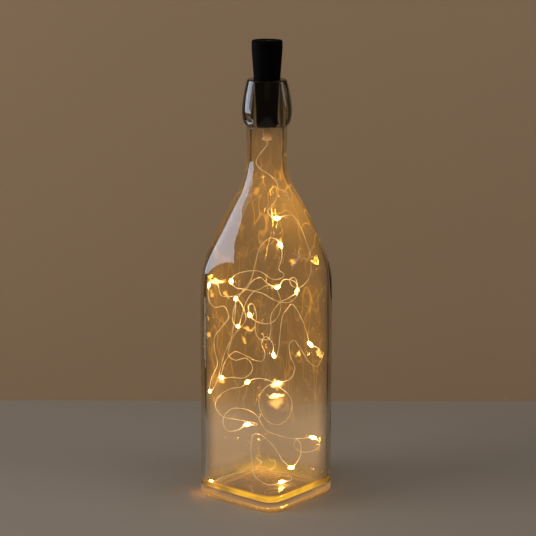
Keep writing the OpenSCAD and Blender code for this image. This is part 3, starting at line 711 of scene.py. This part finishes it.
def patch(place, middle, wide):
    """1 in the middle of a round soft patch, less away from it."""
    return math.exp(-(((place - middle).length / wide) ** 2))


def painted_wall_glow(place):
    """Painted warm light on the walls: strong by a light, with painted haze on the shoulder, low down and on
    the base.
    """
    z = place.z / MM
    deep = inset(place)
    near = shine(place, NEAREST)
    glow = min(0.068 * near + 0.02 * near * near, 1.4) + 0.24 * patch(place, PAINTED_HAZE, PAINTED_HAZE_WIDE)
    glow += 0.1 * ramp(z, 85.0, 60.0) * ramp(z, 10.0, 16.0)
    glow += 0.015 * ramp(z, 80.0, 100.0) + 0.02 * ramp(z, 205.0, 225.0)
    # The painted light is taken down in the two corners farthest to the sides, and round the stopper
    glow *= 1 - 0.85 * ramp(abs(inverse_view(place).x) / MM, 36.0, 43.0)
    glow *= ramp(z, 270.0, 258.0)
    sole = 0.3 * ramp(z, 1.6, 2.8) * ramp(z, 9.5, 5.5) * ramp(deep, 3.0, 2.0)
    foot = 0.42 * ramp(z, 2.6, 1.2) * ramp(deep, 7.5, 4.5)
    floor = 0.02 + 0.55 * patch(place, PAINTED_LIT_CORNER, PAINTED_LIT_WIDE)
    return glow + sole + foot + floor * ramp(deep, 1.5, 5.0) * ramp(z, 13.0, 9.0) * ramp(z, 4.0, 5.0)


def low(place):
    """1 on the lower walls, where the painted light is faint and rosy."""
    z = place.z / MM
    return ramp(z, 90.0, 60.0) * ramp(z, 1.5, 3.0) * (inset(place) < 2.5 or z > 14)


def painted_wire_shine(place):
    """Painted light of the string on its own wire, and of the lit outlet on the wire in the neck."""
    return shine(place, NEAREST) + 1.3 * ramp(place.z / MM, 222.0, 240.0)


for name, worth in (("painted_wall_glow", painted_wall_glow), ("low", low), ("painted_base_glow", painted_base_glow), ("hollow", hollow)):
    keep(bottle, name, worth)
for cord, line in wires.values():
    keep(cord, "shine", painted_wire_shine)


def on_the_front(across_mm, up_mm):
    """The place on the bottle's near side that stands so far across the view and up."""
    ring = [inverse_view(p) for p in square_ring(up_mm, BODY_HALF, CORNER, shoulder_reach(up_mm))]
    nearest = min((p for p in ring if p.y < 0), key=lambda p: abs(p.x - across_mm))
    return placed((across_mm, nearest.y, up_mm))


# Materials
def node(tree, kind, links=None, **settings):
    """Adds a node; links gives its inputs a value or another node's output."""
    made = tree.nodes.new("ShaderNode" + kind)
    for name, value in settings.items():
        setattr(made, name, value)
    for name, value in (links or {}).items():
        by_name = (s for s in made.inputs if s.enabled and s.name == name)
        socket = next(by_name) if isinstance(name, str) else made.inputs[name]
        if isinstance(value, bpy.types.NodeSocket):
            tree.links.new(value, socket)
        else:
            socket.default_value = value
    return made


def out(made):
    """The output that a node gives with its present settings."""
    return next(s for s in made.outputs if s.enabled)


def surface(name, colour, **inputs):
    """A material with one Principled shader, its even values set on the shader's own sockets."""
    made = bpy.data.materials.new(name)
    made.use_nodes = True
    made.diffuse_color = linear(colour)
    shader = made.node_tree.nodes["Principled BSDF"]
    shader.inputs["Base Color"].default_value = linear(colour)
    for key, value in inputs.items():
        shader.inputs[key.replace("_", " ")].default_value = value
    return made, made.node_tree, shader


def dress(piece, made):
    piece.data.materials.clear()
    piece.data.materials.append(made)


def grain(tree, shader, size, height, colour_a, colour_b, rough_a, rough_b):
    """Fine moulded grain: bump, a little colour and a little roughness, size in metres."""
    where = node(tree, "TexCoord")
    fine = node(tree, "TexNoise", {"Vector": where.outputs["Object"], "Scale": 1 / size, "Detail": 3.0})
    broad = node(tree, "TexNoise", {"Vector": where.outputs["Object"], "Scale": 0.1 / size, "Detail": 4.0})
    tone = node(
        tree, "Mix", {"Factor": broad.outputs["Fac"], "A": linear(colour_a), "B": linear(colour_b)},
        data_type="RGBA")
    tree.links.new(out(tone), shader.inputs["Base Color"])
    rough = node(tree, "MapRange", {"Value": broad.outputs["Fac"], "To Min": rough_a, "To Max": rough_b})
    tree.links.new(rough.outputs["Result"], shader.inputs["Roughness"])
    bump = node(tree, "Bump", {"Height": fine.outputs["Fac"], "Distance": height, "Strength": 1.0})
    tree.links.new(bump.outputs["Normal"], shader.inputs["Normal"])


# Soda-lime bottle glass, pressed and fire-polished: clear, wavy inside, warm with painted light of the string
CLEAR, PAINTED_SHADE = linear("FDFAF4"), linear("6B5228")
ROSY, GOLDEN, BASE_GOLD, PALE = linear("FFC688"), linear("FFAC30"), linear("FFC022"), linear("FFDD80")
glass, tree, shader = surface(
    "clear_soda_lime_glass", "FDFAF4", Transmission_Weight=1.0, IOR=1.52, Roughness=0.0)
place = node(tree, "TexCoord").outputs["Object"]
sag = node(tree, "TexNoise", {"Vector": place, "Scale": 1 / (22 * MM), "Detail": 2.0})
bump = node(tree, "Bump", {"Height": sag.outputs["Fac"], "Distance": 0.25 * MM, "Strength": 0.35})
tree.links.new(bump.outputs["Normal"], shader.inputs["Normal"])
under, walls, painted_base, lower = (
    node(tree, "Attribute", attribute_name=name).outputs["Fac"]
    for name in ("hollow", "painted_wall_glow", "painted_base_glow", "low"))
# Painted shade: the hollow under the base is tinted dark for the shade under the bottle
painted_shade_tint = node(tree, "Mix", {"Factor": under, "A": CLEAR, "B": PAINTED_SHADE}, data_type="RGBA")
tree.links.new(out(painted_shade_tint), shader.inputs["Base Color"])

# Gleams of the lights in the wavy walls, listed: millimetres across the view and up, half sizes,
# lean in degrees and strength
PAINTED_GLEAMS = (
    (7, 86, 6.5, 2.5, 0, 4.0), (7, 81, 7, 4.5, 0, 0.9), (7, 94, 6, 3.5, 0, 2.2), (-35, 161, 9, 2, -6, 2.6),
    (9, 191, 1.5, 6.5, 12, 1.2), (18, 179, 3.5, 2, 0, 0.9), (-12, 132, 6.5, 1.5, -8, 0.9),
    (-38, 151, 2, 3, 20, 0.9), (-28, 153, 2, 3, -20, 0.9), (6, 164, 3, 2.5, 0, 0.8),
    (-7, 225, 3, 4.5, 10, 0.4), (23, 112, 3, 2.5, 30, 1.4), (36, 109, 2, 2.5, 0, 1.0),
    (-16, 123, 3, 2, 25, 0.8), (-41, 120, 2, 3, 0, 0.8), (-32, 90, 3.5, 3, 0, 1.0))
PAINTED_GLEAM_DEEP = 6
# Painted highlights: each gleam is a soft patch of emission on the walls, standing for a reflection of a
# light
waver = node(tree, "TexNoise", {"Vector": place, "Scale": 1 / (5 * MM), "Detail": 1.0})
drift = node(tree, "VectorMath", {0: waver.outputs["Color"], 1: (0.5, 0.5, 0.5)}, operation="SUBTRACT")
spread = node(tree, "VectorMath", {0: out(drift), 1: (6 * MM,) * 3, 2: place}, operation="MULTIPLY_ADD")
glow = walls
for across_mm, up_mm, wide, high, lean, strength in PAINTED_GLEAMS:
    spot = node(
        tree, "Mapping", {
            "Vector": out(spread), "Location": on_the_front(across_mm, up_mm),
            "Rotation": (0, math.radians(lean), VIEW_TURN),
            "Scale": (wide * MM, max(PAINTED_GLEAM_DEEP, 1.6 * wide) * MM, high * MM)},
        vector_type="TEXTURE")
    away = node(tree, "VectorMath", {0: out(spot)}, operation="LENGTH")
    lit = node(
        tree, "MapRange", {
            "Value": away.outputs["Value"], "From Min": 0.25, "From Max": 1.05, "To Min": strength,
            "To Max": 0.0},
        interpolation_type="SMOOTHSTEP")
    glow = out(node(tree, "Math", {0: glow, 1: out(lit)}, operation="ADD"))

# Painted reflection of the lit wire: thin crooked streaks of emission, as the wavy inside would draw it out
flow = node(tree, "Mapping", {"Vector": place, "Scale": (1.0, 1.0, 0.36)})
bends = node(
    tree, "TexNoise", {"Vector": out(flow), "Scale": 1 / (13 * MM), "Detail": 1.0, "Distortion": 0.4})
level = node(tree, "Math", {0: bends.outputs["Fac"], 1: 0.5}, operation="SUBTRACT")
ridge = node(tree, "Math", {0: out(level)}, operation="ABSOLUTE")
painted_streak = node(
    tree, "MapRange",
    {"Value": out(ridge), "From Min": 0.004, "From Max": 0.02, "To Min": 2.2, "To Max": 0.0},
    interpolation_type="SMOOTHSTEP")
upper = node(tree, "Math", {0: 1.0, 1: lower}, operation="SUBTRACT")
even_walls = node(tree, "Math", {0: walls, 1: 0.16}, operation="MINIMUM")
lit_walls = node(tree, "Math", {0: out(even_walls), 1: out(upper)}, operation="MULTIPLY")
glow = out(node(tree, "Math", {0: out(painted_streak), 1: out(lit_walls), 2: glow}, operation="MULTIPLY_ADD"))

# The painted light is rosy where faint low on the body, golden where stronger and pale where strongest
faint = node(
    tree, "MapRange", {"Value": glow, "From Min": 0.28, "From Max": 0.5, "To Min": 1.0, "To Max": 0.0})
rosy = node(tree, "Math", {0: out(faint), 1: lower}, operation="MULTIPLY")
warmth = node(tree, "Mix", {"Factor": out(rosy), "A": GOLDEN, "B": ROSY}, data_type="RGBA")
gold = node(tree, "Mix", {"Factor": painted_base, "A": out(warmth), "B": BASE_GOLD}, data_type="RGBA")
bright = node(tree, "MapRange", {"Value": glow, "From Min": 0.45, "From Max": 1.6})
pale = node(tree, "Mix", {"Factor": out(bright), "A": out(gold), "B": PALE}, data_type="RGBA")
tree.links.new(out(pale), shader.inputs["Emission Color"])

# The painted light of the walls shows where a look enters the glass, the painted band round the floor mostly
# from within it
inner_side = node(tree, "NewGeometry").outputs["Backfacing"]
outer_side = node(tree, "Math", {0: 1.0, 1: inner_side}, operation="SUBTRACT")
wall_light = node(tree, "Math", {0: glow, 1: out(outer_side)}, operation="MULTIPLY")
facets = node(tree, "TexNoise", {"Vector": place, "Scale": 1 / (18 * MM), "Detail": 2.0})
share = node(
    tree, "MapRange",
    {"Value": facets.outputs["Fac"], "From Min": 0.33, "From Max": 0.6, "To Min": 0.3, "To Max": 0.95})
caught = node(tree, "Math", {0: painted_base, 1: out(share)}, operation="MULTIPLY")
within = node(tree, "MapRange", {"Value": inner_side, "To Min": 0.12, "To Max": 1.0})
light = node(tree, "Math", {0: out(caught), 1: out(within), 2: out(wall_light)}, operation="MULTIPLY_ADD")
tree.links.new(out(light), shader.inputs["Emission Strength"])
# Thick glass and long ways along a wall look darker and warmer, as at the sides and in the base
depth = node(tree, "VolumeAbsorption", {"Color": linear("C8BFA0"), "Density": 85.0})
tree.links.new(out(depth), tree.nodes["Material Output"].inputs["Volume"])

# Tinned copper strands under clear lacquer: silvery, with painted golden light where the lights shine on them
wire_metal, tree, shader = surface(
    "lacquered_tinned_copper", "E6DCCB", Metallic=0.7, Roughness=0.38, Coat_Weight=0.4, Coat_Roughness=0.15,
    Emission_Color=linear("FFDCA0"))
lit = node(tree, "Attribute", attribute_name="shine").outputs["Fac"]
near = node(tree, "Math", {0: lit, 1: 0.05, 2: 0.1}, operation="MULTIPLY_ADD")
glow = node(tree, "Math", {0: out(near), 1: lit, 2: 0.17}, operation="MULTIPLY_ADD")
tree.links.new(out(glow), shader.inputs["Emission Strength"])
place = node(tree, "TexCoord").outputs["Object"]
dull = node(tree, "TexNoise", {"Vector": place, "Scale": 1 / (6 * MM), "Detail": 2.0})
tone = node(
    tree, "Mix", {"Factor": dull.outputs["Fac"], "A": linear("F3EDE2"), "B": linear("D3C7B2")},
    data_type="RGBA")
tree.links.new(out(tone), shader.inputs["Base Color"])

# Epoxy drop round a lit chip: clear, filled with warm light
resin, tree, shader = surface(
    "lit_epoxy_drop", "FFE9BE", Transmission_Weight=0.6, IOR=1.5, Roughness=0.08,
    Emission_Strength=24.0, Emission_Color=linear("FFC65C"))
chip, tree, shader = surface(
    "lit_phosphor_chip", "FFE2A0", Roughness=0.5, Emission_Strength=90.0, Emission_Color=linear("FFE09A"))

# Natural polyethylene: milky, with the lights' glow through it painted on as emission, most at its rim
milky, tree, shader = surface(
    "milky_polyethylene", "E9D7BD", IOR=1.51, Roughness=0.35, Subsurface_Weight=0.6, Subsurface_Scale=2 * MM,
    Emission_Color=linear("FFC184"))
height = node(tree, "SeparateXYZ", {"Vector": node(tree, "TexCoord").outputs["Object"]})
painted_glow_fade = node(tree, "MapRange", {
    "Value": height.outputs["Z"], "From Min": (OUTLET_Z + 1) * MM, "From Max": (OUTLET_Z + 6) * MM,
    "To Min": 0.42, "To Max": 0.1})
tree.links.new(out(painted_glow_fade), shader.inputs["Emission Strength"])


def grained(name, colours, size, height, roughness, **inputs):
    """A material with a fine grain, between two colours and two roughnesses, size and height in mm."""
    made, tree, shader = surface(name, colours[0], **inputs)
    grain(tree, shader, size * MM, height * MM, *colours, *roughness)
    return made


# ABS moulded in a spark-eroded mould: black, fine matt grain
black = grained(
    "black_moulded_abs", ("040302", "070504"), 0.35, 0.02, (0.7, 0.8), IOR=1.53, Specular_IOR_Level=0.03)
grey = grained("grey_moulded_abs", ("555557", "636365"), 0.35, 0.02, (0.4, 0.5), IOR=1.53)
knob = grained("dark_knob_abs", ("353537", "404042"), 0.3, 0.02, (0.35, 0.45), IOR=1.53)
# Glass-epoxy board under green varnish, moulded epoxy, soft PVC: smooth, with a faint waver in tone
laminate = grained("green_laminate", ("195C33", "237845"), 0.5, 0.01, (0.25, 0.35), IOR=1.5)
epoxy = grained("black_epoxy", ("202021", "282829"), 0.15, 0.01, (0.5, 0.6), IOR=1.55)
pvc = grained("red_pvc", ("B2231C", "A01D18"), 0.4, 0.01, (0.3, 0.4), IOR=1.53)
# Plated metals: rolled or drawn, bright, a little uneven in tone and gloss
gold_plate = grained("gold_plated_brass", ("DDB866", "C9A255"), 0.4, 0.004, (0.22, 0.32), Metallic=1.0)
nickel = grained("nickel_plated_steel", ("C9C6BF", "BBB8B1"), 0.3, 0.003, (0.18, 0.3), Metallic=1.0)
tin = grained("tinned_steel", ("C2C3C4", "AFB0B2"), 0.5, 0.005, (0.3, 0.42), Metallic=1.0)


def fit(piece, made, node_name, body=None):
    """Dresses a piece that stands for a node of the model, and lets it ride on its body."""
    dress(piece, made)
    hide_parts(node_name)
    if body:
        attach(piece, body)


fit(bottle, glass, "glass_bottle", "bottle")
for number, (name, (cord, line)) in enumerate(wires.items()):
    fit(cord, wire_metal, name, "bottle" if number else None)
lead_wire = wires["lead_wire"][0]
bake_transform(lead_wire)
for number, (drops, chips) in lights.items():
    fit(drops, resin, f"led_beads_{number}", "bottle")
    fit(chips, chip, f"led_chips_{number}", "bottle")
fit(holder, black, "stopper_shell", "stopper")
fit(outlet, milky, "wire_outlet", "stopper")
fit(board_coil, gold_plate, "board_spring", "stopper")
fit(cap, black, "cap_head", "cap")
fit(cell_coil, gold_plate, "cell_spring", "cap")
for number, cell in enumerate(cells, 1):
    fit(cell, nickel, f"cell_{number}", "cap")
fit(slide, knob, "switch_slider", "slider")

# Parts kept from the model, with their edges eased
FINISH = {
    "driver_board": laminate, "switch_board": laminate, "driver_chip": epoxy, "limit_resistor": epoxy,
    "leaf_contact": gold_plate, "inner_leads": pvc, "cell_cage": grey, "contact_stud": gold_plate,
    "return_strip": gold_plate, "switch_housing": tin, "switch_pins": tin, "switch_wiper": gold_plate,
}
for name, made in FINISH.items():
    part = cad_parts[name]
    dress(part, made)
    weld = part.modifiers.new("weld", "WELD")
    weld.merge_threshold = 0.001 * MM
    eased = part.modifiers.new("eased", "BEVEL")
    eased.width = 0.08 * MM
    eased.segments = 2
    eased.limit_method = "ANGLE"
    eased.angle_limit = math.radians(40)

# Table and backdrop, plain, 0.47 m wide, with the backdrop 226 mm behind the bottle's axis
WALL_AWAY, STAGE_HALF = 0.226, 0.235
across = Matrix.Rotation(VIEW_TURN, 4, "Z")


def board(name, one, other, colour, roughness):
    """A flat board between two corners, across, away and up."""
    bpy.ops.object.select_all(action="DESELECT")
    bpy.ops.mesh.primitive_plane_add(size=1)
    piece = bpy.context.object
    piece.name = name
    one, other = Vector(one), Vector(other)
    for v in piece.data.vertices:
        v.co = across @ Vector((
            one.x if v.co.x < 0 else other.x,
            one.y if v.co.y < 0 else other.y,
            one.z if v.co.y < 0 else other.z))
    paint, tree, shader = surface(name, colour, Roughness=roughness)
    dress(piece, paint)
    return tree, shader


board("floor", (-STAGE_HALF, -0.9, 0), (STAGE_HALF, WALL_AWAY, 0), "7F766C", 0.7)
# The backdrop is open from behind, so that it hides nothing in a view from there
tree, shader = board("backdrop", (STAGE_HALF, WALL_AWAY, 0.9), (-STAGE_HALF, WALL_AWAY, 0), "917A61", 0.9)
behind = node(tree, "NewGeometry")
clear = node(tree, "BsdfTransparent")
open_back = node(tree, "MixShader", {0: behind.outputs["Backfacing"], 1: out(shader), 2: out(clear)})
tree.links.new(out(open_back), tree.nodes["Material Output"].inputs["Surface"])


def lamp(name, kind, place, power, colour):
    """A lamp that doesn't show in the glass."""
    light = bpy.data.lights.new(name, kind)
    light.energy = power
    light.color = linear(colour)[:3]
    stand = bpy.data.objects.new(name, light)
    SCENE.collection.objects.link(stand)
    stand.location = across @ Vector(place)
    stand.visible_camera = False
    stand.visible_transmission = False
    stand.visible_glossy = False
    return light, stand


def softbox(name, size, place, aim, power, colour):
    """A soft lamp turned to a place."""
    light, stand = lamp(name, "AREA", place, power, colour)
    light.shape = "RECTANGLE"
    light.size, light.size_y = size
    stand.rotation_euler = (across @ Vector(aim) - stand.location).to_track_quat("-Z", "Y").to_euler()


softbox("left_softbox", (0.8, 1.1), (-1.2, -0.4, 0.7), (0, 0, 0.15), 12, "FFFBF6")
softbox("right_softbox", (0.8, 1.1), (1.3, -0.6, 0.7), (0, 0, 0.15), 7, "FFFBF6")
softbox("top_light", (1.2, 1.2), (0.1, -0.5, 1.8), (0, 0, 0.1), 10.5, "FFFFFF")

# Light of the two lowest lights on the table, just outside the glass
for name, place, power in (
        ("left_spill", (-0.046, -0.006, 0.007), 0.012), ("right_spill", (0.046, 0.004, 0.009), 0.004)):
    light, stand = lamp(name, "POINT", place, power, "FFA53A")
    light.shadow_soft_size = 2 * MM


def gleam_card(name, corners, colour, strength):
    """A lit card beside the bottle that shows only as a reflection in its gloss."""
    bpy.ops.object.select_all(action="DESELECT")
    bpy.ops.mesh.primitive_circle_add(vertices=len(corners), radius=0.1, fill_type="NGON")
    card = bpy.context.object
    card.name = name
    for v, corner in zip(card.data.vertices, corners):
        v.co = across @ Vector(corner)
    lit, tree, shader = surface(name, colour, Emission_Color=linear(colour), Emission_Strength=strength)
    dress(card, lit)
    card.visible_camera = False
    card.visible_diffuse = False
    card.visible_transmission = False
    card.visible_shadow = False


# Across the view, away from the viewer and up: a tall window far on the left with its sill, its foot
# on a card nearer by, a slit of a window on the right, and the glints of both on the collar
FAR, NEAR, BY = 3, 0.25, 0.12
WINDOW, SLIT, GLINT = "CFE2FA", "C6D4F0", "C9D2E8"
gleam_card("left_window", (
    (-FAR, -0.62, -0.22), (-FAR, -0.72, 1.8), (-FAR, -0.4, 2.3), (-FAR, 0.3, 2.3), (-FAR, 1.9, 1.7),
    (-FAR, 2.1, 0.8), (-FAR, 1.6, -0.24)), WINDOW, 5.4)
gleam_card("left_window_foot", (
    (-NEAR, -0.068, 0.129), (-NEAR, -0.07, 0.172), (-NEAR, 0.05, 0.172), (-NEAR, 0.05, 0.137),
    (-NEAR, -0.03, 0.132)), WINDOW, 5.4)
gleam_card("left_sill", (
    (-FAR, 0.05, -0.74), (-FAR, 0.05, -0.55), (-FAR, 0.7, -0.55), (-FAR, 0.7, -0.74)), "E0E2DC", 2.4)
gleam_card("right_window", (
    (FAR, 0.05, -0.3), (FAR, 0.05, -0.17), (FAR, 0.26, -0.17), (FAR, 0.26, -0.3)), SLIT, 2.0)
gleam_card("left_glint", (
    (-BY, -0.045, 0.276), (-BY, -0.045, 0.328), (-BY, -0.012, 0.328), (-BY, -0.012, 0.276)), GLINT, 1.3)
gleam_card("right_glint", (
    (BY, -0.02, 0.31), (BY, -0.02, 0.328), (BY, 0.012, 0.328), (BY, 0.012, 0.28), (BY, -0.004, 0.284)),
    GLINT, 1.2)

world = bpy.data.worlds.new("studio")
SCENE.world = world
world.use_nodes = True
tree = world.node_tree
# A dim room, which the glass shows at its edges, with the soft light of its walls on matt things
ray = node(tree, "LightPath")
room = node(
    tree, "Mix", {"Factor": ray.outputs["Is Diffuse Ray"], "A": linear("4A4037"), "B": linear("8A8680")},
    data_type="RGBA")
tree.links.new(out(room), tree.nodes["Background"].inputs["Color"])
tree.nodes["Background"].inputs["Strength"].default_value = 0.7

SCENE.view_settings.view_transform = "Standard"
